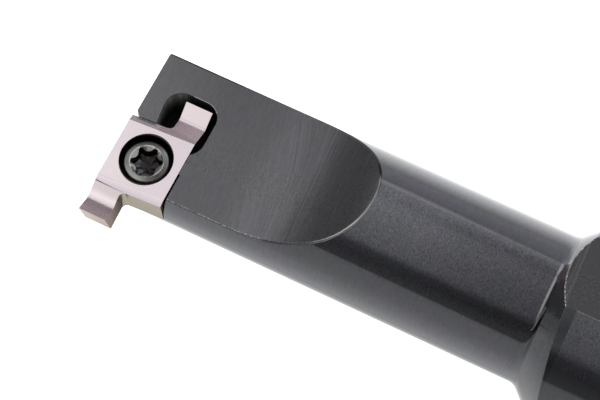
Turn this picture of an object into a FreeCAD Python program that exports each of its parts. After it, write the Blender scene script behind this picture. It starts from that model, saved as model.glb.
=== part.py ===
import FreeCAD, Part
import math
import os

from FreeCAD import Placement, Rotation, Vector

# Internal grooving tool holder, in millimetres.
# A steel bar with a round shank, two clamping flats and a thinner neck, turned off centre,
# carries a double ended grooving insert that one countersunk screw clamps in a side pocket.
# The frame lies on the shank: X runs along its axis from the rear face to the head, and +Z
# is square to the clamping flats, with the tool lying on the lower one.

# Driving sizes of the bar
overall_length = 150.0
shank_radius = 11.0
across_flats = 20.0
rear_chamfer = 1.0
neck_radius = 8.0
neck_length = 46.0
neck_offset_side = 0.15
neck_offset_up = 1.44
flare_angle = 43.5
flare_root_radius = 1.2
edge_break = 0.15

# Driving sizes of the head, in the frame of the head, which is tilted about the bar
head_tilt = 14.0
head_flat_height = 2.95
head_flat_length = 13.3
runout_radius = 20.0
pocket_corner_cut = 0.45
pocket_wall_lean = 2.5

# Driving sizes of the relief slot round the spare tip, cut with one end mill
slot_mill_radius = 1.95
slot_tip_gap_left = 1.9
slot_tip_gap_right = 0.9
slot_tip_gap_end = 0.75
slot_left_drift = 0.28
slot_rear_dip = 0.2
slot_below_seat = 0.4

# Driving sizes of the insert
insert_thickness = 4.0
insert_width = 7.32
insert_half_body = 4.2
flank_tilt = 3.3
bevel_depth = 0.29
bevel_width = 0.76
groove_width = 3.0
tip_reach = 7.68
tip_drop = 0.2
tip_side_inset = 0.08
tip_side_clearance = 2.0
chip_valley_back = 1.8
chip_valley_depth = 1.05
chip_valley_radius = 0.6
chip_step_angle = 45.0
flank_relief = 5.5
tip_relief = 11.0
side_relief = 0.5
tip_root_radius = 0.6
hole_mouth_radius = 2.74
hole_waist_radius = 2.2

# Driving sizes of the screw, an M4 with a 60 degree head and a size 15 six-lobe socket
screw_front_gap = 3.4
screw_side = 4.37
screw_length = 8.4
screw_thread_radius = 1.95
screw_end_chamfer = 0.5
head_sink = 0.4
head_radius = 2.65
head_face_radius = 2.3
head_rim_height = 0.35
head_land = 0.25
head_cone_angle = 30.0
socket_point_radius = 1.635
socket_flute_radius = 1.19
socket_lobe_radius = 0.27
socket_depth = 1.4
socket_turn = 20.0
socket_lead_in = 0.12
socket_lead_angle = 25.0

# Clearances
thread_clearance = 0.05
seat_clearance = 0.02
head_clearance = 0.02

# Reach of a cutter past the stock that it cuts
over = 5.0

# Places worked out from the sizes above
shoulder_x = overall_length - neck_length
head_frame = Placement(
    Vector(overall_length, -neck_offset_side, neck_offset_up),
    Rotation(Vector(1, 0, 0), -head_tilt),
)
insert_frame = head_frame * Placement(
    Vector(-screw_front_gap, screw_side, head_flat_height),
    Rotation(),
)


def degrees_tan(angle):
    return math.tan(math.radians(angle))


def closed_wire(points):
    """A closed outline through the points in order, with straight edges."""
    return Part.makePolygon(list(points) + [points[0]])


def prism(points, direction):
    """A solid made by moving a flat outline of straight edges along a direction."""
    return Part.Face(closed_wire(points)).extrude(direction)


def turned(profile):
    """A solid of revolution about X from (x, radius) points that start and end on the axis."""
    points = [Vector(x, 0, radius) for x, radius in profile]
    return Part.Face(closed_wire(points)).revolve(Vector(0, 0, 0), Vector(1, 0, 0), 360)


def turned_upright(profile):
    """A solid of revolution about Z from (radius, z) points that start and end on the axis."""
    points = [Vector(radius, 0, z) for radius, z in profile]
    return Part.Face(closed_wire(points)).revolve(Vector(0, 0, 0), Vector(0, 0, 1), 360)


def placed(shape, placement):
    """A copy of a shape carried from a local frame into the frame of the part."""
    moved = shape.copy()
    moved.Placement = placement * moved.Placement
    return moved


# Holder body: bar, turned neck, flats, head flat, pocket, slot and screw hole

def shank_bar():
    """The round bar stock over its full length, chamfered at the rear."""
    return turned([
        (0, 0),
        (0, shank_radius - rear_chamfer),
        (rear_chamfer, shank_radius),
        (overall_length, shank_radius),
        (overall_length, 0),
    ])


def neck_envelope():
    """What the lathe leaves when the bar is turned about the neck axis.

    The neck is a cylinder, a concave root leads into the flare, and the flare is a cone that
    runs out past the bar. Behind the shoulder the envelope is wider than the bar.
    """
    slope = math.radians(flare_angle)
    wide = shank_radius + math.hypot(neck_offset_side, neck_offset_up) + over
    root_tangent = flare_root_radius * math.tan(slope / 2)
    neck_end = Vector(shoulder_x + root_tangent, 0, neck_radius)
    flare_start = Vector(
        shoulder_x - root_tangent * math.cos(slope),
        0,
        neck_radius + root_tangent * math.sin(slope),
    )
    root_centre = neck_end + Vector(0, 0, flare_root_radius)
    root_middle = root_centre + Vector(
        -flare_root_radius * math.sin(slope / 2), 0, -flare_root_radius * math.cos(slope / 2))
    flare_end = Vector(shoulder_x - (wide - neck_radius) / math.tan(slope), 0, wide)
    corners = [
        flare_end,
        Vector(-over, 0, wide),
        Vector(-over, 0, 0),
        Vector(overall_length, 0, 0),
        Vector(overall_length, 0, neck_radius - edge_break),
        Vector(overall_length - edge_break, 0, neck_radius),
        neck_end,
    ]
    edges = [Part.Arc(neck_end, root_middle, flare_start).toShape()]
    edges.append(Part.LineSegment(flare_start, flare_end).toShape())
    edges += [Part.LineSegment(a, b).toShape() for a, b in zip(corners[:-1], corners[1:])]
    profile = Part.Face(Part.Wire(Part.__sortEdges__(edges)))
    envelope = profile.revolve(Vector(0, 0, 0), Vector(1, 0, 0), 360)
    envelope.translate(Vector(0, -neck_offset_side, neck_offset_up))
    return envelope


def shank_flat_cutter(side):
    """Stock above one clamping flat, side 1 for the top and -1 for the bottom.

    The flat runs the whole length of the bar and ends where it meets the flare.
    """
    stock = Part.makeBox(
        over + shoulder_x, 2 * shank_radius + 2 * over, over + shank_radius,
        Vector(-over, -shank_radius - over, across_flats / 2))
    if side < 0:
        stock.rotate(Vector(0, 0, 0), Vector(1, 0, 0), 180)
    return stock


def head_flat_cutter():
    """Stock above the head flat, which ends in a concave runout up to the round neck."""
    top = neck_radius + over
    start = Vector(-head_flat_length, 0, head_flat_height)
    centre = start + Vector(0, 0, runout_radius)
    climb = math.acos((runout_radius - (top - head_flat_height)) / runout_radius)
    end = centre + Vector(-runout_radius * math.sin(climb), 0, -runout_radius * math.cos(climb))
    middle = centre + Vector(
        -runout_radius * math.sin(climb / 2), 0, -runout_radius * math.cos(climb / 2))
    front_low = Vector(over, 0, head_flat_height)
    front_high = Vector(over, 0, top)
    outline = Part.Wire([
        Part.LineSegment(front_low, start).toShape(),
        Part.Arc(start, middle, end).toShape(),
        Part.LineSegment(end, front_high).toShape(),
        Part.LineSegment(front_high, front_low).toShape(),
    ])
    cutter = Part.Face(outline).extrude(Vector(0, 2 * top, 0))
    cutter.translate(Vector(0, -top, 0))
    return cutter


def pocket_cutter():
    """Room for the insert, open to the front, the side and the top, in the insert's frame.

    The side wall follows the tilted flank. The rear wall leans back from where it holds the
    foot of the insert, and the corner between side wall and front face is cut off.
    """
    height = neck_radius + over
    far = neck_radius + over
    half = insert_half_body + seat_clearance
    tilt = degrees_tan(flank_tilt)
    rear = -insert_width / 2 - seat_clearance
    front = screw_front_gap
    cut_side = -half + (front - pocket_corner_cut) * tilt
    floor = -insert_thickness
    floor_outline = [
        Vector(rear, far, floor),
        Vector(rear, -half + rear * tilt, floor),
        Vector(front - pocket_corner_cut, cut_side, floor),
        Vector(front + over, cut_side - pocket_corner_cut - over, floor),
        Vector(front + over, far, floor),
    ]
    room = prism(floor_outline, Vector(0, 0, height))
    back = height * degrees_tan(pocket_wall_lean)
    lean_outline = [
        Vector(rear, 0, floor),
        Vector(rear - back, 0, floor + height),
        Vector(rear + over, 0, floor + height),
        Vector(rear + over, 0, floor),
    ]
    lean = prism(lean_outline, Vector(0, far, 0))
    return room.fuse(lean)


def milled(path, radius, depth):
    """What an end mill clears along a path of centres, down to a depth below z = 0."""
    swept = []
    for centre in path:
        disc = Part.makeCylinder(radius, depth + 2 * neck_radius)
        disc.translate(centre - Vector(0, 0, depth))
        swept.append(disc)
    for start, end in zip(path[:-1], path[1:]):
        run = end - start
        across = Vector(-run.y, run.x, 0).normalize() * radius
        strip = prism([start + across, start - across, end - across, end + across],
                      Vector(0, 0, depth + 2 * neck_radius))
        strip.translate(Vector(0, 0, -depth))
        swept.append(strip)
    return swept[0].multiFuse(swept[1:])


def slot_cutter():
    """Relief round the spare tip, milled along three sides of it, in the insert's frame."""
    tip_outer = -insert_width / 2 + tip_side_inset
    tip_inner = tip_outer + groove_width
    mill = slot_mill_radius
    left_x = tip_inner + slot_tip_gap_left - mill
    right_x = tip_outer - slot_tip_gap_right + mill
    end_y = -tip_reach - slot_tip_gap_end + mill
    root_y = -insert_half_body
    path = [
        Vector(left_x - slot_left_drift, root_y, 0),
        Vector(left_x, end_y, 0),
        Vector(right_x, end_y, 0),
        Vector(right_x, root_y + slot_rear_dip, 0),
    ]
    return milled(path, mill, insert_thickness + slot_below_seat)


def screw_hole_cutter():
    """The tapped hole at its minor size, right through the head, in the insert's frame."""
    depth = insert_thickness + 2 * neck_radius
    hole = Part.makeCylinder(screw_thread_radius + thread_clearance, depth)
    hole.translate(Vector(0, 0, -depth))
    return hole


def break_head_flat_rim(body):
    """A small chamfer along the sides of the head flat and round its runout."""
    to_head = head_frame.inverse()
    rim = []
    for edge in body.Edges:
        middle = to_head.multVec(edge.valueAt((edge.FirstParameter + edge.LastParameter) / 2))
        on_neck = abs(math.hypot(middle.y, middle.z) - neck_radius) < 0.001
        on_flat = -head_flat_length - runout_radius < middle.x < -edge_break
        if on_neck and on_flat and middle.z < neck_radius - edge_break and middle.z > 0:
            rim.append(edge)
    return body.makeChamfer(edge_break, rim)


def holder_body():
    body = shank_bar().common(neck_envelope())
    body = body.cut(shank_flat_cutter(1)).cut(shank_flat_cutter(-1))
    body = body.cut(placed(head_flat_cutter(), head_frame))
    body = break_head_flat_rim(body)
    body = body.cut(placed(pocket_cutter(), insert_frame))
    body = body.cut(placed(slot_cutter(), insert_frame))
    body = body.cut(placed(screw_hole_cutter(), insert_frame))
    return body.removeSplitter()


# Grooving insert: an S shaped plate, the same when turned half round its hole

def rounded_corner(before, corner, after, radius):
    """Start, middle and end of the arc that rounds a corner between two straight sides."""
    back = (before - corner).normalize()
    ahead = (after - corner).normalize()
    half_angle = back.getAngle(ahead) / 2
    run = radius / math.tan(half_angle)
    inward = (back + ahead).normalize()
    middle = corner + inward * (radius / math.sin(half_angle) - radius)
    return corner + back * run, middle, corner + ahead * run


def insert_outline(depth):
    """The S outline at a depth below the top face, drawn in by the relief angles."""
    tilt = degrees_tan(flank_tilt)
    half = insert_half_body - depth * degrees_tan(flank_relief)
    reach = tip_reach - (depth - tip_drop) * degrees_tan(tip_relief)
    body_side = insert_width / 2
    tip_outer = body_side - tip_side_inset
    tip_inner = tip_outer - groove_width + depth * degrees_tan(side_relief)
    root_inner = tip_inner + (tip_reach - insert_half_body) * degrees_tan(tip_side_clearance)
    z = -depth
    tip_out = Vector(tip_outer, reach, z)
    tip_in = Vector(tip_inner, reach, z)
    root = Vector(root_inner, half + root_inner * tilt, z)
    corner = Vector(-body_side, half - body_side * tilt, z)
    root_start, root_middle, root_end = rounded_corner(tip_in, root, corner, tip_root_radius)
    half_outline = [tip_out, tip_in, root_start, root_middle, root_end, corner]
    turned_half = [Vector(-point.x, -point.y, point.z) for point in half_outline]
    edges = []
    for points, following in ((half_outline, turned_half), (turned_half, half_outline)):
        edges.append(Part.LineSegment(points[0], points[1]).toShape())
        edges.append(Part.LineSegment(points[1], points[2]).toShape())
        edges.append(Part.Arc(points[2], points[3], points[4]).toShape())
        edges.append(Part.LineSegment(points[4], points[5]).toShape())
        edges.append(Part.LineSegment(points[5], following[0]).toShape())
    return Part.Wire(edges)


def chip_groove_cutter():
    """A shallow V across one tip, which falls to a round valley and climbs to the edge.

    It starts at the foot of the bevel, with a short step that leans back from the cut.
    """
    start = insert_width / 2 - tip_side_inset - groove_width - tip_root_radius / 2
    foot = Vector(start, insert_half_body, -bevel_depth)
    step_top = foot + Vector(0, -over / degrees_tan(chip_step_angle), over)
    valley = Vector(start, tip_reach - chip_valley_back, -chip_valley_depth)
    edge = Vector(start, tip_reach, -tip_drop)
    past_edge = Vector(start, tip_reach + over, -tip_drop)
    past_top = Vector(start, tip_reach + over, over)
    falls, turns, climbs = rounded_corner(foot, valley, edge, chip_valley_radius)
    sides = [climbs, edge, past_edge, past_top, step_top, foot, falls]
    edges = [Part.LineSegment(a, b).toShape() for a, b in zip(sides[:-1], sides[1:])]
    edges.append(Part.Arc(falls, turns, climbs).toShape())
    groove = Part.Face(Part.Wire(edges))
    return groove.extrude(Vector(groove_width + over, 0, 0))


def bevel_cutter():
    """The wedge that bevels one long edge of the top face, along the tilted flank."""
    inner = insert_half_body - bevel_width
    slope = bevel_depth / (bevel_width - bevel_depth * degrees_tan(flank_relief))
    run = bevel_width + tip_root_radius / 2
    tilt_rise = insert_width * degrees_tan(flank_tilt)
    wedge = [
        Vector(-insert_width, inner - tilt_rise, 0),
        Vector(-insert_width, inner - tilt_rise + run, -run * slope),
        Vector(-insert_width, inner - tilt_rise + run, over),
        Vector(-insert_width, inner - tilt_rise, over),
    ]
    return prism(wedge, Vector(2 * insert_width, 2 * tilt_rise, 0))


def insert_hole_cutter():
    """The clamping hole: a round mouth, a cone for the screw head and a waist."""
    cone_tan = degrees_tan(head_cone_angle)
    cone_top = -head_sink - head_rim_height - head_land
    mouth_extra = hole_mouth_radius - head_radius
    clear = head_clearance / math.cos(math.radians(head_cone_angle))
    mouth_z = cone_top + (mouth_extra - clear) / cone_tan
    waist_z = mouth_z - (hole_mouth_radius - hole_waist_radius) / cone_tan
    return turned_upright([
        (0, -insert_thickness - over),
        (hole_waist_radius, -insert_thickness - over),
        (hole_waist_radius, waist_z),
        (hole_mouth_radius, mouth_z),
        (hole_mouth_radius, over),
        (0, over),
    ])


def half_turn(shape):
    """A copy turned half round the hole, for the second end of the insert."""
    copy = shape.copy()
    copy.rotate(Vector(0, 0, 0), Vector(0, 0, 1), 180)
    return copy


def grooving_insert():
    plate = Part.makeLoft([insert_outline(0), insert_outline(insert_thickness)], True, True)
    for cutter in (chip_groove_cutter(), bevel_cutter()):
        plate = plate.cut(cutter).cut(half_turn(cutter))
    plate = plate.cut(insert_hole_cutter())
    return placed(plate.removeSplitter(), insert_frame)


# Clamp screw: a countersunk head with a six-lobe socket

def six_lobe_face():
    """The socket's outline: six round points joined by six hollow flutes, all tangent."""
    lobe_centre_radius = socket_point_radius - socket_lobe_radius
    half_pitch = math.radians(30)
    # The flute's radius follows from tangency between a flute arc and a lobe arc.
    gap = socket_flute_radius - lobe_centre_radius * math.cos(half_pitch)
    flute_radius = (
        (lobe_centre_radius * math.sin(half_pitch)) ** 2 + gap ** 2 - socket_lobe_radius ** 2
    ) / (2 * (socket_lobe_radius - gap))

    def polar(radius, angle):
        return Vector(radius * math.cos(angle), radius * math.sin(angle), 0)

    edges = []
    for lobe in range(6):
        angle = math.radians(60 * lobe + socket_turn)
        lobe_centre = polar(lobe_centre_radius, angle)
        meets = []
        for way in (-1, 1):
            flute_centre = polar(socket_flute_radius + flute_radius, angle + way * half_pitch)
            towards = (flute_centre - lobe_centre).normalize()
            meets.append(lobe_centre + towards * socket_lobe_radius)
        edges.append(Part.Arc(meets[0], polar(socket_point_radius, angle), meets[1]).toShape())
        turn = Rotation(Vector(0, 0, 1), 60)
        flute_middle = polar(socket_flute_radius, angle + half_pitch)
        edges.append(Part.Arc(meets[1], flute_middle, turn.multVec(meets[0])).toShape())
    return Part.Face(Part.Wire(edges))


def clamp_screw():
    cone_tan = degrees_tan(head_cone_angle)
    rim_z = -head_sink - head_rim_height
    cone_top = rim_z - head_land
    cone_foot = cone_top - (head_radius - screw_thread_radius) / cone_tan
    tail = -head_sink - screw_length
    screw = turned_upright([
        (0, tail),
        (screw_thread_radius - screw_end_chamfer, tail),
        (screw_thread_radius, tail + screw_end_chamfer),
        (screw_thread_radius, cone_foot),
        (head_radius, cone_top),
        (head_radius, rim_z),
        (head_face_radius, -head_sink),
        (0, -head_sink),
    ])
    socket = six_lobe_face().extrude(Vector(0, 0, -socket_depth))
    socket.translate(Vector(0, 0, -head_sink))
    lead_radius = socket_point_radius + socket_lead_in
    lead_in = turned_upright([
        (0, -head_sink - lead_radius * degrees_tan(socket_lead_angle)),
        (lead_radius, -head_sink),
        (0, -head_sink),
    ])
    screw = screw.cut(socket).cut(lead_in)
    return placed(screw, insert_frame)


def write_parts():
    os.makedirs("parts", exist_ok=True)
    parts = {
        "holder_body": holder_body(),
        "grooving_insert": grooving_insert(),
        "clamp_screw": clamp_screw(),
    }
    for name, shape in parts.items():
        shape.exportStep(os.path.join("parts", name + ".step"))
        box = shape.BoundBox
        print(name, "solids", len(shape.Solids), "valid", shape.isValid(),
              "volume", round(shape.Volume, 2), "box",
              [round(v, 2) for v in (box.XMin, box.YMin, box.ZMin, box.XMax, box.YMax, box.ZMax)])


write_parts()
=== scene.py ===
import math

import bpy
import numpy as np
from mathutils import Matrix, Vector


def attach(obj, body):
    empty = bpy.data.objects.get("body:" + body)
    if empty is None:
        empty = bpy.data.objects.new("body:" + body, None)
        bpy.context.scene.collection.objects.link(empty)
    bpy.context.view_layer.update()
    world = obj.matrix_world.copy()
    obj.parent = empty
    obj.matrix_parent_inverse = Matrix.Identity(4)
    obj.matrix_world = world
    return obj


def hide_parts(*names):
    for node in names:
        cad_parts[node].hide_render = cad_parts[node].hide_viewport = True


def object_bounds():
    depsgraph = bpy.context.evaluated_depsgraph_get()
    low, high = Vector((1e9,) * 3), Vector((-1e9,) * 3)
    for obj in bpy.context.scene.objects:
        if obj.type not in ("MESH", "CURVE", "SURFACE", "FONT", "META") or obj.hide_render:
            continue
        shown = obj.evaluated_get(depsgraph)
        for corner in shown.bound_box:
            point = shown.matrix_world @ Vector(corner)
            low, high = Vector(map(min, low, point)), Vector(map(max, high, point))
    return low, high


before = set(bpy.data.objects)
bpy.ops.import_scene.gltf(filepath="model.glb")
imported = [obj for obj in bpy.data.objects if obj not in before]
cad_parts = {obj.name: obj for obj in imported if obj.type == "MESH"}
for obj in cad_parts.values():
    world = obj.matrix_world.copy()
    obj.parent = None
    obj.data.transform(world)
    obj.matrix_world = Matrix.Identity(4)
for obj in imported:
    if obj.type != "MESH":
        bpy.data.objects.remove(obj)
cad_low, cad_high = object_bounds()


# Holder body
# One bar of alloy steel: turned to a thinner neck, milled flat at the head and on the shank,
# then blackened in a hot salt bath, which keeps every tool mark. Its edges show bright, partly
# wear and partly painted highlight.

class Signal:
    """A number or vector that runs through a shader. Arithmetic on it adds the Math nodes."""

    def __init__(self, finish, socket):
        self.finish = finish
        self.socket = socket

    def math(self, operation, *others):
        return self.finish.node("ShaderNodeMath", {"operation": operation}, (self, *others))

    def __add__(self, other):
        return self.math("ADD", other)

    def __sub__(self, other):
        return self.math("SUBTRACT", other)

    def __rsub__(self, other):
        return self.math("MULTIPLY_ADD", -1.0, other)

    def __mul__(self, other):
        return self.math("MULTIPLY", other)

    def __truediv__(self, other):
        return self.math("DIVIDE", other)

    def __lt__(self, other):
        return self.math("LESS_THAN", other)

    def __gt__(self, other):
        return self.math("GREATER_THAN", other)

    def __abs__(self):
        return self.math("ABSOLUTE")

    __radd__ = __add__
    __rmul__ = __mul__

    def rise(self, low, high):
        """0 below low and 1 above high, with an S curve between."""
        return self.finish.node(
            "ShaderNodeMapRange", {"interpolation_type": "SMOOTHSTEP"},
            {"Value": self, "From Min": low, "From Max": high})

    def hump(self, low, high, soft):
        """1 between low and high, and 0 farther out than soft past either."""
        return self.rise(low - soft, low) * (1 - self.rise(high, high + soft))

    def levels(self, *pairs):
        """The number read off a line through (value, level) pairs in rising order."""
        low, high = pairs[0][0], pairs[-1][0]
        stops = [((value - low) / (high - low), (level,) * 3) for value, level in pairs]
        place = self.finish.node(
            "ShaderNodeMapRange", None, {"Value": self, "From Min": low, "From Max": high})
        return self.finish.node("ShaderNodeValToRGB", {"stops": stops}, (place,))


class Finish:
    """A tree of shader nodes, and the one way in which its nodes are made."""

    def __init__(self, name, tree=None):
        if tree is None:
            self.material = bpy.data.materials.new(name)
            self.material.use_nodes = True
            tree = self.material.node_tree
        self.tree = tree
        self.tree.nodes.clear()

    def node(self, kind, settings=None, inputs=(), output=0):
        """A node of that kind: its settings first, then its inputs by place or by name."""
        made = self.tree.nodes.new(kind)
        for name, value in (settings or {}).items():
            if name == "stops":
                for _ in range(len(value) - len(made.color_ramp.elements)):
                    made.color_ramp.elements.new(1.0)
                for element, (place, colour) in zip(made.color_ramp.elements, value):
                    element.position = place
                    element.color = (*colour, 1.0)
            else:
                setattr(made, name, value)
        named = inputs if isinstance(inputs, dict) else dict(enumerate(inputs))
        for name, value in named.items():
            socket = made.inputs[name]
            if isinstance(value, Signal):
                self.tree.links.new(value.socket, socket)
            elif socket.type == "RGBA":
                socket.default_value = (*value, 1.0)
            else:
                socket.default_value = value
        if len(made.outputs):
            return Signal(self, made.outputs[output])
        return made

    def axes(self, vector):
        """The three numbers of a vector."""
        split = self.node("ShaderNodeSeparateXYZ", None, (vector,)).socket.node
        return [Signal(self, socket) for socket in split.outputs]

    def scaled(self, vector, factors):
        return self.node("ShaderNodeVectorMath", {"operation": "MULTIPLY"}, (vector, factors))

    def millimetres(self):
        """Where the shaded point is, in millimetres in the frame of the part."""
        place = self.node("ShaderNodeTexCoord", output="Object")
        return self.scaled(place, (1000, 1000, 1000))

    def noise(self, place, scales, detail=2.0, roughness=0.5):
        """Cloudy numbers about 0.5, with their own scale on each axis, per millimetre."""
        return self.node(
            "ShaderNodeTexNoise", None,
            {"Vector": self.scaled(place, scales), "Scale": 1.0, "Detail": detail,
             "Roughness": roughness})

    def blend(self, amount, first, second, how="MIX"):
        """The first colour where amount is 0, the second where it is 1."""
        return self.node("ShaderNodeMix", {"data_type": "RGBA", "blend_type": how},
                         {0: amount, 6: first, 7: second}, 2)

    def shaded(self, colour, level):
        """The colour made darker or lighter by a number."""
        grey = self.node("ShaderNodeCombineColor", None, (level, level, level))
        return self.blend(1.0, colour, grey, "MULTIPLY")

    def eased(self, radius, lean):
        """The normal with each edge rounded over, and how sharp the edge there is.

        Sharpness rises from 0 on a plain face to 1 where the rounded normal leans from the
        face's own by more than the given (least, most) pair, each 1 less a cosine.
        """
        true = self.node("ShaderNodeNewGeometry", output="Normal")
        eased = self.node("ShaderNodeBevel", {"samples": 8}, (radius,))
        along = self.node("ShaderNodeVectorMath", {"operation": "DOT_PRODUCT"},
                          (eased, true), "Value")
        return eased, (1 - along).rise(*lean)

    def bumped(self, height, depth, strength, normal):
        return self.node("ShaderNodeBump", None, {"Strength": strength, "Distance": depth,
                                                  "Height": height, "Normal": normal})

    def surface(self, painted_shade=None, **sockets):
        """The finished material. Where the painted shade mask rises to 1 its gloss gives way to
        flat black.
        """
        named = {name.replace("_", " "): value for name, value in sockets.items()}
        shader = self.node("ShaderNodeBsdfPrincipled", None, named)
        if painted_shade is not None:
            black = self.node("ShaderNodeBsdfDiffuse", None, {"Color": (0.02, 0.018, 0.016)})
            shader = self.node("ShaderNodeMixShader", None, (painted_shade, shader, black))
        self.node("ShaderNodeOutputMaterial", None, (shader,))
        return self.material


def dress(piece, material):
    piece.data.materials.clear()
    piece.data.materials.append(material)


head_tilt = math.radians(14.0)
head_at = (150.0, -0.15, 1.44)
neck_radius = 8.0
flat_half = 10.0
head_flat_height = 2.95
runout_start = -13.3
runout_radius = 20.0
shoulder_x = 104.0
flare_slope = 0.949
screw_at = (-3.4, 4.37, 2.95)


def head_frame(finish, place):
    """Place in the head's frame: along the neck axis, towards the cutting side, and up."""
    x, y, z = finish.axes(place)
    side, up = y - head_at[1], z - head_at[2]
    c, s = math.cos(head_tilt), math.sin(head_tilt)
    return x - head_at[0], side * c - up * s, side * s + up * c


def blackened_steel():
    """Dark oxide: near black mirror, cut by tool marks, clouded in tint, bright on its edges from
    wear and painted highlight.
    """
    steel = Finish("blackened_steel")
    place = steel.millimetres()
    x, y, z = steel.axes(place)
    side, up = y - head_at[1], z - head_at[2]
    head_x, head_y, head_z = head_frame(steel, place)
    around = (head_y * head_y + head_z * head_z).math("SQRT")
    # The milled flat and its runout: the height of the cutter's path over each x
    behind = (runout_start - head_x).math("MAXIMUM", 0.0)
    drop = (runout_radius ** 2 - behind * behind).math("MAXIMUM", 0.0).math("SQRT")
    above_path = head_z - (head_flat_height + runout_radius - drop)
    milled = abs(above_path) < 0.04
    rim = ((above_path < -0.01) * (above_path > -0.2) * (around > neck_radius - 0.2)
           * (around < neck_radius - 0.03))
    shank_flat = (abs(z) > flat_half - 0.02) * (x < shoulder_x)
    inside = ((above_path < -0.1) * (around < neck_radius - 0.12) * (head_x < -0.05)
              * (head_x > -12.0))
    _, ny, nz = steel.axes(steel.node("ShaderNodeNewGeometry", output="Normal"))
    wall = inside * ((ny * math.sin(head_tilt) + nz * math.cos(head_tilt)) < 0.5)
    # Tool marks: turning feed round the bar, wide shallow arcs from the mill over the flats,
    # rings on the faced rear end and upright streaks down the walls of the slot
    arc = x + head_y * (0.06 + 0.24 * head_x.rise(-19.5, -15.5))
    swept = steel.node("ShaderNodeCombineXYZ", None, (arc, head_y, 0.0))
    upright = steel.node("ShaderNodeCombineXYZ", None, (head_x, head_y, head_z))
    feed = steel.noise(place, (4.0, 0.8, 0.8), 4.0, 0.75)
    ripple = steel.noise(place, (12.0, 4.0, 4.0), 1.0, 0.5)
    coarse = steel.noise(place, (1.6, 0.05, 0.05), 2.0)
    cutter = steel.noise(swept, (4.5, 0.05, 1.0), 4.0, 0.7)
    streak = steel.noise(upright, (3.0, 3.0, 0.15), 3.0, 0.6)
    faced = steel.node("ShaderNodeTexNoise", {"noise_dimensions": "1D"},
                       {"W": (y * y + z * z).math("SQRT") * 4.0, "Scale": 1.0, "Detail": 3.0})
    cloud = steel.noise(place, (0.22, 0.3, 0.3), 4.0, 0.6)
    grime = steel.noise(place, (1.1, 1.1, 1.1), 5.0, 0.7)
    speck = steel.noise(place, (5.0, 5.0, 5.0), 3.0, 0.7)
    eased, sharp = steel.eased(0.00010, (0.002, 0.02))
    open_edge = (above_path.rise(-0.14, -0.1) * 0.5
                 + around.rise(neck_radius - 0.2, neck_radius - 0.1))
    # How strong the painted edge highlight is across the head
    near = head_y.levels((-2.9, 0.0), (-2.2, 0.6), (0.0, 0.5), (2.0, 0.65), (3.4, 1.0),
                         (4.4, 0.7), (5.6, 0.5), (6.3, 0.16), (7.5, 0.12))
    near = near.math("MAXIMUM", 0.8 * head_x.hump(-17.5, -7.0, 0.8) * (head_y > 5.0))
    on_head = head_x > -27.0
    # Bright edges: wear in specks on the open edges, and painted highlight shaped across the head
    wear_and_highlight = sharp * open_edge.math("MINIMUM", 1.0) * (0.25 + 1.3 * speck.rise(0.3, 0.7))
    ragged = speck.rise(0.45, 0.60)
    flare_edge = (x > 100.9) * (x < shoulder_x)
    wear_and_highlight = wear_and_highlight * (1 - on_head * (1 - 0.45 * near))
    wear_and_highlight = wear_and_highlight * (1 - 0.85 * flare_edge)
    within = neck_radius + (shoulder_x - x) * flare_slope - around
    # The ragged bright edge where the flare meets the shank's flat: burr and painted highlight
    torn = flare_edge * (z > flat_half - 0.05) * (within < 0.09) * ragged
    wear_and_highlight = wear_and_highlight.math("MAXIMUM", 0.9 * torn)
    # A painted highlight along one stretch of the slot's rim
    slot_rim = (sharp * (above_path > -0.1) * (around < neck_radius - 0.5)
                * head_x.hump(-9.0, -4.6, 0.3) * (head_y < -3.4))
    # A painted highlight runs along the root of the flare, on its upper near side
    painted_root_line = x.hump(104.06, 104.20, 0.10) * side.rise(-1.0, 1.5) * up.rise(5.0, 6.8)
    # Along the rim of the flat the bright line, wear and painted highlight, is thin, and broken on
    # the near side
    depth = head_y.levels((-3, 0.2), (0, 0.16), (2, 0.13), (3.4, 0.085), (5, 0.06), (6.5, 0.05))
    line = rim * (above_path + depth > 0)
    wear_and_highlight = wear_and_highlight * (1 - rim) + line * near * (1 - head_y.rise(4.8, 6.0) * (1 - ragged))
    wear_and_highlight = wear_and_highlight.math("MAXIMUM", painted_root_line * (0.25 + 0.5 * speck))
    wear_and_highlight = wear_and_highlight.math("MAXIMUM", slot_rim)
    front_rim = (head_x > -0.16) * (head_z > 2.6) * (above_path < -0.005)
    wear_and_highlight = (wear_and_highlight * (1 - front_rim)).math("MINIMUM", 1.0)
    # The last strip of the clamping flat, next to the flare, is paler
    strip = (x + 0.06 * y).rise(102.33, 102.43) * shank_flat
    tint = steel.blend(cloud.rise(0.35, 0.65), (0.097, 0.102, 0.107), (0.103, 0.101, 0.113))
    milled_tint = steel.blend(cloud.rise(0.3, 0.7), (0.116, 0.118, 0.118), (0.115, 0.114, 0.122))
    tint = steel.blend(milled, tint, milled_tint)
    tint = steel.blend(shank_flat, tint, (0.053, 0.053, 0.056))
    tint = steel.blend(strip, tint, (0.064, 0.064, 0.064))
    # Painted shade: the inside of the pocket and the slot is painted near black
    tint = steel.blend(inside, tint, (0.020, 0.020, 0.020))
    # Painted light on the slot's wall near its front, fading downwards into painted shade
    lit = wall * head_x.rise(-4.2, -3.2) * (1 - (head_flat_height - head_z).rise(0.2, 3.6))
    tint = steel.blend(lit, tint, (0.15, 0.155, 0.145))
    # Painted shade along the top of the front face, and along the rim of the flat where its
    # painted highlight is weak
    tint = steel.blend(front_rim, tint, (0.02, 0.02, 0.022))
    tint = steel.blend(rim * (1 - near), tint, (0.04, 0.041, 0.043))
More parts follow.
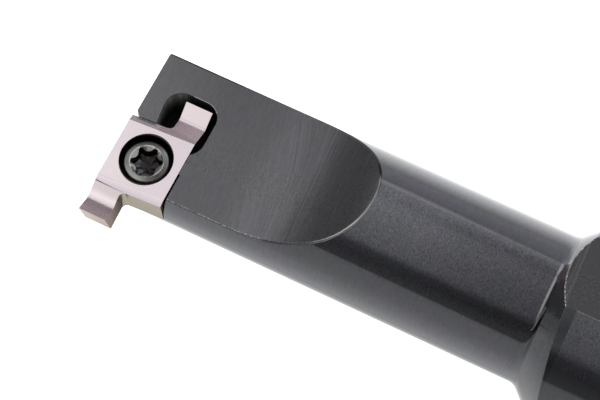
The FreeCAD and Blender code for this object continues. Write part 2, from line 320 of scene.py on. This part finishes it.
    # Painted shade on top of the neck, deepest by the flare, and painted shading along the milled
    # flat, palest where the cutter ran out
    turn = side.math("ARCTAN2", up) * (180 / math.pi)
    painted_neck_shade = head_x.levels((-46, 0.68), (-44, 0.71), (-41, 0.77), (-38, 0.85), (-36, 0.94),
                         (-34, 1.03), (-32, 1.12), (-28, 1.2))
    painted_neck_shade = 0.95 + turn.hump(10, 50, 10) * (painted_neck_shade - 0.95)
    painted_flat_shade = head_x.levels(
        (-26, 0.62), (-23, 0.66), (-21, 0.72), (-20, 0.85), (-18, 0.94), (-16, 1.0),
        (-15, 0.95), (-13, 0.79), (-8, 0.78), (-5, 0.88), (-3, 0.94), (0, 1.0))
    on_neck = (1 - milled) * (1 - inside) * (x > shoulder_x)
    painted_shading = 1 + on_neck * (1.13 * painted_neck_shade - 1) + milled * (1.5 * painted_flat_shade - 1)
    # On the cone of the flare a painted dark reflection, darkest towards the cutting side
    cone = flare_edge * (1 - shank_flat)
    painted_cone_reflection = turn.levels((-20, 0.6), (-5, 0.78), (4, 1.0), (12, 0.95), (17, 0.4), (30, 0.4),
                         (42, 0.30), (52, 0.46), (64, 0.43), (78, 0.54), (95, 0.58))
    painted_shading = painted_shading * (1 + cone * (1.7 * painted_cone_reflection - 1))
    runout = milled * head_x.hump(-26, -14.5, 1.5)
    chatter = 1.6 * arc.hump(130.0, 130.6, 0.35) + 0.7 * arc.hump(132.4, 132.7, 0.3)
    rippled = 0.25 + turn.hump(4, 60, 8) * (1.25 - 0.7 * milled - 0.8 * cone)
    marks = (0.70 + 0.46 * feed + 0.14 * grime + rippled * (ripple - 0.5)
             + milled * (0.2 + runout * (0.7 + chatter)) * (cutter - 0.5)
             + 2.4 * wall * (streak - 0.5) + 0.8 * (x < 0.02) * (faced - 0.5)
             + 5.0 * strip * (cutter - 0.51)).math("MAXIMUM", 0.05)
    colour = steel.shaded(steel.shaded(tint, painted_shading), marks)
    # Bright edges: worn bare steel and painted highlight
    colour = steel.blend(wear_and_highlight, colour, (0.46, 0.455, 0.44))
    rough = 0.08 + 0.20 * milled + 0.23 * shank_flat + 0.08 * (grime - 0.5) + 0.4 * inside
    height = feed * 0.6 + coarse * 0.6 + milled * cutter
    normal = steel.bumped(height, 0.00001, 0.35, eased)
    metallic = (1 - 0.85 * wall - 0.7 * wear_and_highlight).math("MAXIMUM", 0.0)
    return steel.surface(Base_Color=colour, Metallic=metallic, Roughness=rough, Normal=normal)


dress(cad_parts["holder_body"], blackened_steel())


# Grooving insert
# Sintered carbide, pressed and ground, with a thin pinkish hard coating over it all. The
# ground flanks are darker than the top. The wall of the hole and a ring round it are painted near
# black as shade.

hole_mouth = 2.78
hole_rim = 2.765
groove_foot = 4.12


def coated_carbide():
    """Satin coating: pale lilac pink on top, straw grey on the flanks, painted shade in the hole.
    """
    coat = Finish("coated_carbide")
    place = coat.millimetres()
    head_x, head_y, head_z = head_frame(coat, place)
    along, across = head_x - screw_at[0], head_y - screw_at[1]
    from_screw = (along * along + across * across).math("SQRT")
    depth = screw_at[2] - head_z
    cloud = coat.noise(place, (0.35, 0.35, 0.35), 3.0)
    grain = coat.noise(place, (9.0, 9.0, 9.0), 4.0, 0.7)
    ground = coat.noise(place, (0.5, 0.5, 6.0), 3.0, 0.6)
    true = coat.node("ShaderNodeNewGeometry", output="Normal")
    _, ny, nz = coat.axes(true)
    lifted = ny * math.sin(head_tilt) + nz * math.cos(head_tilt)
    true_across = ny * math.cos(head_tilt) - nz * math.sin(head_tilt)
    on_top = lifted.rise(0.05, 0.35)
    in_hole = (from_screw < hole_mouth) * (depth > 0.02)
    painted_hole_ring = (along * along + 0.9 * across * across).math("SQRT") < hole_rim
    # Painted light and shade across the cutting tip's groove, palest low down its slope, and a
    # painted shade line along its root
    reach = abs(across)
    painted_groove_shading = across.levels((4.1, 0.75), (4.8, 0.77), (5.1, 0.88), (5.35, 1.0), (5.55, 0.95),
                           (5.8, 0.80), (6.1, 0.74), (6.4, 0.72), (6.7, 0.78), (7.1, 0.90),
                           (7.6, 0.92))
    painted_groove_shading = 1 + (across > groove_foot) * on_top * (1.05 * painted_groove_shading - 1)
    # Painted light on the far tip's slope and its bevel
    painted_groove_shading = painted_groove_shading + 0.14 * (across < -4.05) * (across > -5.9)
    far_bevel = (across < -3.35) * (across > -4.1) * along.rise(0.2, 1.2)
    painted_groove_shading = painted_groove_shading + 0.65 * far_bevel
    painted_root_line = (reach.hump(groove_foot, 4.2, 0.04) * depth.hump(0.14, 0.32, 0.05)
                 * (abs(along) < 3.7) * (along * across > 1.8))
    # Painted light and shade on the flanks: the front of each tip is paler, the flanks beside the
    # tips paler towards their ends, and the inner flank darkens towards the body in painted shade
    front = (reach > 7.0) * abs(along).levels(
        (0.6, -0.06), (1.0, 0.04), (1.6, 0.06), (2.2, 0.16), (2.8, 0.25), (3.6, 0.27))
    beside = (reach > 4.3) * (reach < 7.0) * abs(along).rise(1.3, 4.2)
    inner = ((reach > 4.25) * (abs(along) < 1.25) * (1 - abs(true_across).rise(0.4, 0.9))
             * (1 - on_top))
    top = coat.blend(cloud.rise(0.35, 0.65), (0.86, 0.77, 0.80), (0.89, 0.80, 0.80))
    # Painted shade on the near bevel, deepest at its foot
    near_bevel = (across < groove_foot) * across.levels(
        (3.33, 0.0), (3.5, 0.3), (3.75, 0.6), (4.0, 1.0))
    top = coat.blend(near_bevel, top, (0.70, 0.615, 0.70))
    flank = coat.blend(inner, (0.48, 0.48, 0.37), (0.40, 0.340, 0.265))
    flank = coat.shaded(flank, 0.58 + 0.3 * ground + 0.6 * beside + front)
    flank = coat.shaded(flank, 1 - 0.4 * inner)
    shadow = inner * reach.levels((4.2, 0.75), (5.2, 0.56), (6.0, 0.30), (6.8, 0.03), (7.4, 0.0))
    colour = coat.blend(on_top, flank, top)
    # Fine grain, and painted light making everything paler towards the head's front
    colour = coat.shaded(colour, 0.975 + 0.03 * grain + 0.06 * along.rise(0.0, 3.2))
    colour = coat.shaded(colour, painted_groove_shading)
    colour = coat.blend(0.22 * painted_root_line, colour, (0.12, 0.09, 0.10))
    # Painted shade: the hole's wall and an elliptical ring round its mouth go near black
    colour = coat.blend(painted_hole_ring.math("MAXIMUM", in_hole), colour, (0.05, 0.042, 0.035))
    eased, _ = coat.eased(0.00004, (0.02, 0.2))
    normal = coat.bumped(grain, 0.000004, 0.12, eased)
    return coat.surface(shadow, Base_Color=colour, Metallic=1.0,
                        Specular_Tint=(0.86, 0.74, 0.75), Roughness=0.24 + 0.08 * grain,
                        Normal=normal)


dress(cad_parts["grooving_insert"], coated_carbide())


# Clamp screw
# A short countersunk screw with a six-lobe socket and a rolled thread, forged, hardened and
# blackened. It stands square to the seat and draws the insert down into its pocket.

screw_length = 8.4
screw_pitch = 0.7
thread_crest = 1.95
thread_root = 1.56
head_radius = 2.65
head_face_radius = 2.3
head_sink = 0.4
socket_point = 1.635
socket_flute = 1.19
socket_lobe = 0.27
socket_depth = 1.4
socket_turn = math.radians(20.0)
lead_radius = 1.755
lead_slope = math.tan(math.radians(25.0))


def eased_profile(corners, radius, steps=5):
    """A line of (radius, height) corners with each inner corner rounded.

    Each corner gives way to a quadratic curve between the points that lie one radius, or at
    most 0.45 of the side, before and after it.
    """
    corners = np.array(corners, float)
    before, at, after = corners[:-2], corners[1:-1], corners[2:]
    back, ahead = before - at, after - at
    back_length = np.linalg.norm(back, axis=1, keepdims=True)
    ahead_length = np.linalg.norm(ahead, axis=1, keepdims=True)
    start = at + back / back_length * np.minimum(radius, 0.45 * back_length)
    end = at + ahead / ahead_length * np.minimum(radius, 0.45 * ahead_length)
    t = np.linspace(0, 1, steps)[None, :, None]
    curves = ((1 - t) ** 2 * start[:, None] + 2 * t * (1 - t) * at[:, None]
              + t ** 2 * end[:, None])
    return np.vstack([corners[:1], curves.reshape(-1, 2), corners[-1:]])


def six_lobe_radius(angle):
    """How far the socket's wall lies from the axis at each angle.

    Near a point it is the far side of a small circle about the lobe's centre, and between two
    points the near side of a larger circle outside, which meets the small one smoothly.
    """
    centre = socket_point - socket_lobe
    gap = socket_flute - centre * math.cos(math.pi / 6)
    flute = ((centre / 2) ** 2 + gap ** 2 - socket_lobe ** 2) / (2 * (socket_lobe - gap))
    outside = socket_flute + flute
    turn = np.mod(angle + math.pi / 6, math.pi / 3) - math.pi / 6
    beside = math.pi / 6 - np.abs(turn)
    towards = math.atan2(outside / 2, outside * math.cos(math.pi / 6) - centre)
    meets = math.atan2(socket_lobe * math.sin(towards), centre + socket_lobe * math.cos(towards))
    lobe = centre * np.cos(turn) + np.sqrt(
        np.maximum(socket_lobe ** 2 - (centre * np.sin(turn)) ** 2, 0))
    hollow = outside * np.cos(beside) - np.sqrt(
        np.maximum(flute ** 2 - (outside * np.sin(beside)) ** 2, 0))
    return np.where(np.abs(turn) < meets, lobe, hollow)


def screw_rows(angle):
    """(radius, height) at each height step and angle, from the tail to the socket's floor.

    The shank's radius runs between root and crest as a rounded triangle wave of height over
    pitch less angle over a turn. The head is a turned profile. The socket's rows run from the
    lead-in circle to the six-lobe wall, down it and in over its floor.
    """
    level = np.zeros_like(angle)
    tail = -head_sink - screw_length
    cone_top = -head_sink - 0.6
    neck_low, neck_high = -2.75, -2.35
    heights = np.arange(tail + 0.06, neck_low, screw_pitch / 18)[:, None]
    phase = np.mod(heights / screw_pitch - angle / (2 * math.pi), 1.0)
    wave = np.clip(1.45 - 2.9 * np.abs(phase - 0.5), 0.0, 1.0)
    wave = wave * wave * (3 - 2 * wave)
    fade = np.clip((neck_low - heights) / 0.35, 0, 1)
    crest = np.minimum(thread_crest, 1.45 + (heights - tail))
    threads = np.minimum(thread_root + (thread_crest - thread_root) * wave * fade, crest)
    end = eased_profile([(0.7, tail), (1.4, tail), (1.46, tail + 0.05)], 0.05)
    head = eased_profile([
        (thread_root, neck_low + 0.05),
        (thread_root, neck_high),
        (2.0, neck_high + 0.15),
        (head_radius, cone_top),
        (head_radius, cone_top + 0.25),
        (head_face_radius, -head_sink - 0.13),
        (lead_radius + 0.05, -head_sink),
        (lead_radius, -head_sink),
        (lead_radius - 0.1, -head_sink - 0.1 * lead_slope),
    ], 0.07)[:-1]
    wall = six_lobe_radius(angle - socket_turn)
    lip = -head_sink - (lead_radius - wall) * lead_slope
    floor = -head_sink - socket_depth
    ease = 0.035
    socket = [
        (wall + ease, lip + ease * lead_slope),
        (wall + 0.3 * ease, lip - 0.2 * ease),
        (wall, lip - ease),
        (wall, (lip + floor) / 2),
        (wall, floor + 2 * ease),
        (wall - 0.6 * ease, floor + 0.6 * ease),
        (wall - 2 * ease, floor),
        (0.55 * wall, floor - 0.12),
        (0.2 * wall, floor - 0.25),
    ]
    return np.stack(
        [np.stack([radius + level, height + level], -1) for radius, height in end]
        + list(np.stack([threads, heights + 0 * threads], -1))
        + [np.stack([radius + level, height + level], -1) for radius, height in head]
        + [np.stack([radius + level, height + level], -1) for radius, height in socket])


def in_part(points):
    """Points in the insert's frame, in millimetres, carried into the part's, in metres.

    The frame is moved to the screw, turned back by the head's tilt and moved to the neck axis.
    """
    u, v, w = np.moveaxis(np.asarray(points, float) + np.array(screw_at), -1, 0)
    c, s = math.cos(head_tilt), math.sin(head_tilt)
    x = head_at[0] + u
    y = head_at[1] + v * c + w * s
    z = head_at[2] - v * s + w * c
    return np.stack([x, y, z], -1) / 1000


def turned_skin(name, angle, rows):
    """A closed mesh over rows of (radius, height) round the axis, with a point at each end."""
    count = len(angle)
    ring = np.stack([rows[..., 0] * np.cos(angle), rows[..., 0] * np.sin(angle), rows[..., 1]], -1)
    poles = np.array([[0, 0, rows[0, 0, 1]], [0, 0, rows[-1, 0, 1]]])
    index = np.arange(len(rows) * count).reshape(len(rows), count)
    beside = np.roll(index, -1, axis=1)
    quads = np.stack([index[:-1], beside[:-1], beside[1:], index[1:]], -1).reshape(-1, 4)
    low_pole, high_pole = index.size, index.size + 1
    low_fan = np.stack([beside[0], index[0], np.full(count, low_pole)], -1)
    high_fan = np.stack([index[-1], beside[-1], np.full(count, high_pole)], -1)
    mesh = bpy.data.meshes.new(name)
    mesh.from_pydata(in_part(np.vstack([ring.reshape(-1, 3), poles])), [],
                     quads.tolist() + low_fan.tolist() + high_fan.tolist())
    mesh.polygons.foreach_set("use_smooth", np.ones(len(mesh.polygons), bool))
    skin = bpy.data.objects.new(name, mesh)
    bpy.context.scene.collection.objects.link(skin)
    return skin


def black_screw_steel():
    """Oil blackened steel, bright on the face of the head, its lead-in and the socket's lip,
    partly wear and partly painted highlight.
    """
    steel = Finish("black_screw_steel")
    place = steel.millimetres()
    head_x, head_y, head_z = head_frame(steel, place)
    along, across = head_x - screw_at[0], head_y - screw_at[1]
    from_axis = (along * along + across * across).math("SQRT")
    depth = screw_at[2] - head_z
    grime = steel.noise(place, (2.5, 2.5, 2.5), 5.0, 0.7)
    rings = steel.node("ShaderNodeTexNoise", {"noise_dimensions": "1D"},
                       {"W": from_axis * 9.0, "Scale": 1.0, "Detail": 3.0})
    eased, sharp = steel.eased(0.00005, (0.004, 0.05))
    face = from_axis.hump(1.82, 2.20, 0.04) * (depth < 0.9)
    lip = from_axis.hump(1.70, 1.78, 0.03) * (depth < 0.9)
    lead = (from_axis < 1.70) * (1 - depth.rise(0.60, 0.78))
    patch = steel.noise(place, (1.3, 1.3, 1.3), 3.0, 0.6).rise(0.42, 0.58)
    # Painted light round the face of the head, brighter on some sides of the socket than others
    turn = across.math("ARCTAN2", along) * (180 / math.pi)
    painted_face_light = turn.levels((-180, 0.3), (-150, 0.55), (-120, 0.8), (-90, 0.95), (-60, 0.75),
                         (-30, 0.5), (0, 0.75), (30, 0.65), (60, 1.0), (90, 1.0), (120, 0.4),
                         (150, 0.15), (180, 0.3))
    oiled = steel.blend(grime.rise(0.35, 0.65), (0.014, 0.013, 0.014), (0.045, 0.042, 0.040))
    # Painted light on one side of the socket's floor, in patches
    floor = (depth > 1.7) * (depth < 2.2) * (from_axis < 1.3)
    oiled = steel.blend(floor * (along + across).rise(0.1, 1.0) * (0.25 + 1.0 * patch), oiled,
                        (0.115, 0.108, 0.125))
    colour = steel.blend(face * painted_face_light * (0.55 + 0.9 * rings), oiled, (0.34, 0.345, 0.32))
    # The lead-in and the socket's lip: wear and painted highlight
    colour = steel.blend(lead * (0.2 + 0.9 * patch), colour, (0.34, 0.34, 0.33))
    colour = steel.blend(lip * (0.45 + 0.55 * patch), colour, (0.62, 0.61, 0.58))
    height = grime + 0.6 * rings
    return steel.surface(Base_Color=colour, Metallic=1.0, Roughness=0.22 + 0.12 * grime,
                         Normal=steel.bumped(height, 0.00001, 0.25, eased))


angle = np.linspace(0, 2 * math.pi, 144, endpoint=False)
screw = turned_skin("screw_with_thread", angle, screw_rows(angle))
dress(screw, black_screw_steel())
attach(screw, "screw")
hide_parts("clamp_screw")


# Studio
# A pale lit table under the tool, a broad soft light overhead that ends above the far side,
# and the dim room behind the camera. The table shows from above only. None of it is part of
# the tool.

def plain_quad(name, corners, material):
    """A flat stage card through four corners, in millimetres."""
    mesh = bpy.data.meshes.new(name)
    mesh.from_pydata(np.array(corners) / 1000, [], [(0, 1, 2, 3)])
    mesh.materials.append(material)
    card = bpy.data.objects.new(name, mesh)
    bpy.context.scene.collection.objects.link(card)
    return card


def lit_table():
    """A white table top, lit from below. In reflections it is brightest under the far side."""
    white = Finish("lit_table")
    _, y, _ = white.axes(white.millimetres())
    seen = white.node("ShaderNodeLightPath", output="Is Glossy Ray")
    plain = white.node("ShaderNodeBsdfPrincipled", None, {
        "Base Color": (0.9, 0.9, 0.9), "Roughness": 0.7, "Specular IOR Level": 0.2,
        "Emission Color": (1.0, 1.0, 1.0), "Emission Strength": 0.95})
    level = (y - head_at[1]).levels(
        (-60, 1.0), (-16, 0.95), (-9, 0.6), (7.5, 0.45), (9.6, 0.62), (12.4, 0.64),
        (16, 0.60), (20, 0.53), (24, 0.47), (31, 0.42), (38, 0.40), (66, 0.37), (155, 0.32),
        (240, 0.12))
    mirrored = white.node("ShaderNodeEmission", None, {"Strength": level * 2.0})
    shown = white.node("ShaderNodeMixShader", None, (seen, plain, mirrored))
    below = white.node("ShaderNodeNewGeometry", output="Backfacing")
    clear = white.node("ShaderNodeBsdfTransparent")
    shown = white.node("ShaderNodeMixShader", None, (below, shown, clear))
    white.node("ShaderNodeOutputMaterial", None, (shown,))
    return white.material


def reflected_card(name, corners, colour, strength):
    """A card that shows in reflections alone."""
    glow = Finish(name)
    light = glow.node("ShaderNodeEmission", None, {"Color": colour, "Strength": strength})
    glow.node("ShaderNodeOutputMaterial", None, (light,))
    card = plain_quad(name, corners, glow.material)
    card.visible_camera = card.visible_diffuse = card.visible_shadow = False


table_z = cad_low.z * 1000 - 0.05
table_half = 3000
plain_quad("table_top", [
    (-table_half, -table_half, table_z), (table_half, -table_half, table_z),
    (table_half, table_half, table_z), (-table_half, table_half, table_z)], lit_table())
reflected_card("grey_card", [(146, -27, 9), (185, -27, 9), (185, -27, 92), (146, -27, 92)],
               (0.27, 0.23, 0.25), 1.0)
reflected_card("light_card", [(147, 17, 31), (185, 17, 31), (185, 92, 31), (147, 92, 31)],
               (1.0, 0.98, 0.97), 1.0)

world = bpy.data.worlds.new("studio")
world.use_nodes = True
bpy.context.scene.world = world
studio = Finish("studio", world.node_tree)
direction = studio.node("ShaderNodeTexCoord", output="Generated")
across, along, above = studio.axes(direction)
lean = along.math("ARCTAN2", above)
sky = studio.node("ShaderNodeValToRGB", {"stops": [
    (0.00, (0.95, 0.95, 0.95)),
    (0.057, (0.73, 0.73, 0.73)),
    (0.10, (0.50, 0.50, 0.50)),
    (0.146, (0.51, 0.52, 0.54)),
    (0.19, (0.45, 0.46, 0.49)),
    (0.230, (0.42, 0.42, 0.445)),
    (0.249, (0.34, 0.34, 0.34)),
    (0.264, (0.76, 0.76, 0.77)),
    (0.294, (0.76, 0.76, 0.78)),
    (0.324, (0.61, 0.61, 0.63)),
    (0.368, (0.40, 0.40, 0.42)),
    (0.42, (0.41, 0.41, 0.43)),
    (0.445, (0.445, 0.445, 0.455)),
    (0.50, (0.445, 0.445, 0.455)),
    (0.62, (0.37, 0.37, 0.38)),
    (0.80, (0.28, 0.28, 0.29)),
    (0.86, (0.10, 0.10, 0.105)),
    (0.92, (0.08, 0.08, 0.085)),
    (1.00, (0.12, 0.12, 0.125)),
]}, (lean / math.pi + 0.5,))
dim = 1 - 0.68 * across.rise(0.62, 0.84)
seen = studio.node("ShaderNodeLightPath", output="Is Glossy Ray")
glossy = studio.node("ShaderNodeBackground", None, (sky, 2.0 * dim))
plain = studio.node("ShaderNodeBackground", None, ((0.97, 0.97, 0.98), 1.0))
shown = studio.node("ShaderNodeMixShader", None, (seen, plain, glossy))
studio.node("ShaderNodeOutputWorld", None, (shown,))
world.cycles.sampling_method = "NONE"

right = Vector((-0.89576, -0.42911, 0.11609))
upward = Vector((0.41006, -0.69678, 0.58851))
back = Vector((-0.17165, 0.57478, 0.80011))
lens = bpy.data.cameras.new("camera")
lens.lens = 130.14
lens.sensor_width = 36.0
lens.clip_start = 0.01
lens.clip_end = 10.0
camera = bpy.data.objects.new("camera", lens)
camera.matrix_world = Matrix.Translation(Vector((0.09346, 0.12677, 0.17771))) @ Matrix(
    (right, upward, back)).transposed().to_4x4()
bpy.context.scene.collection.objects.link(camera)
bpy.context.scene.camera = camera
bpy.context.scene.view_settings.view_transform = "Standard"
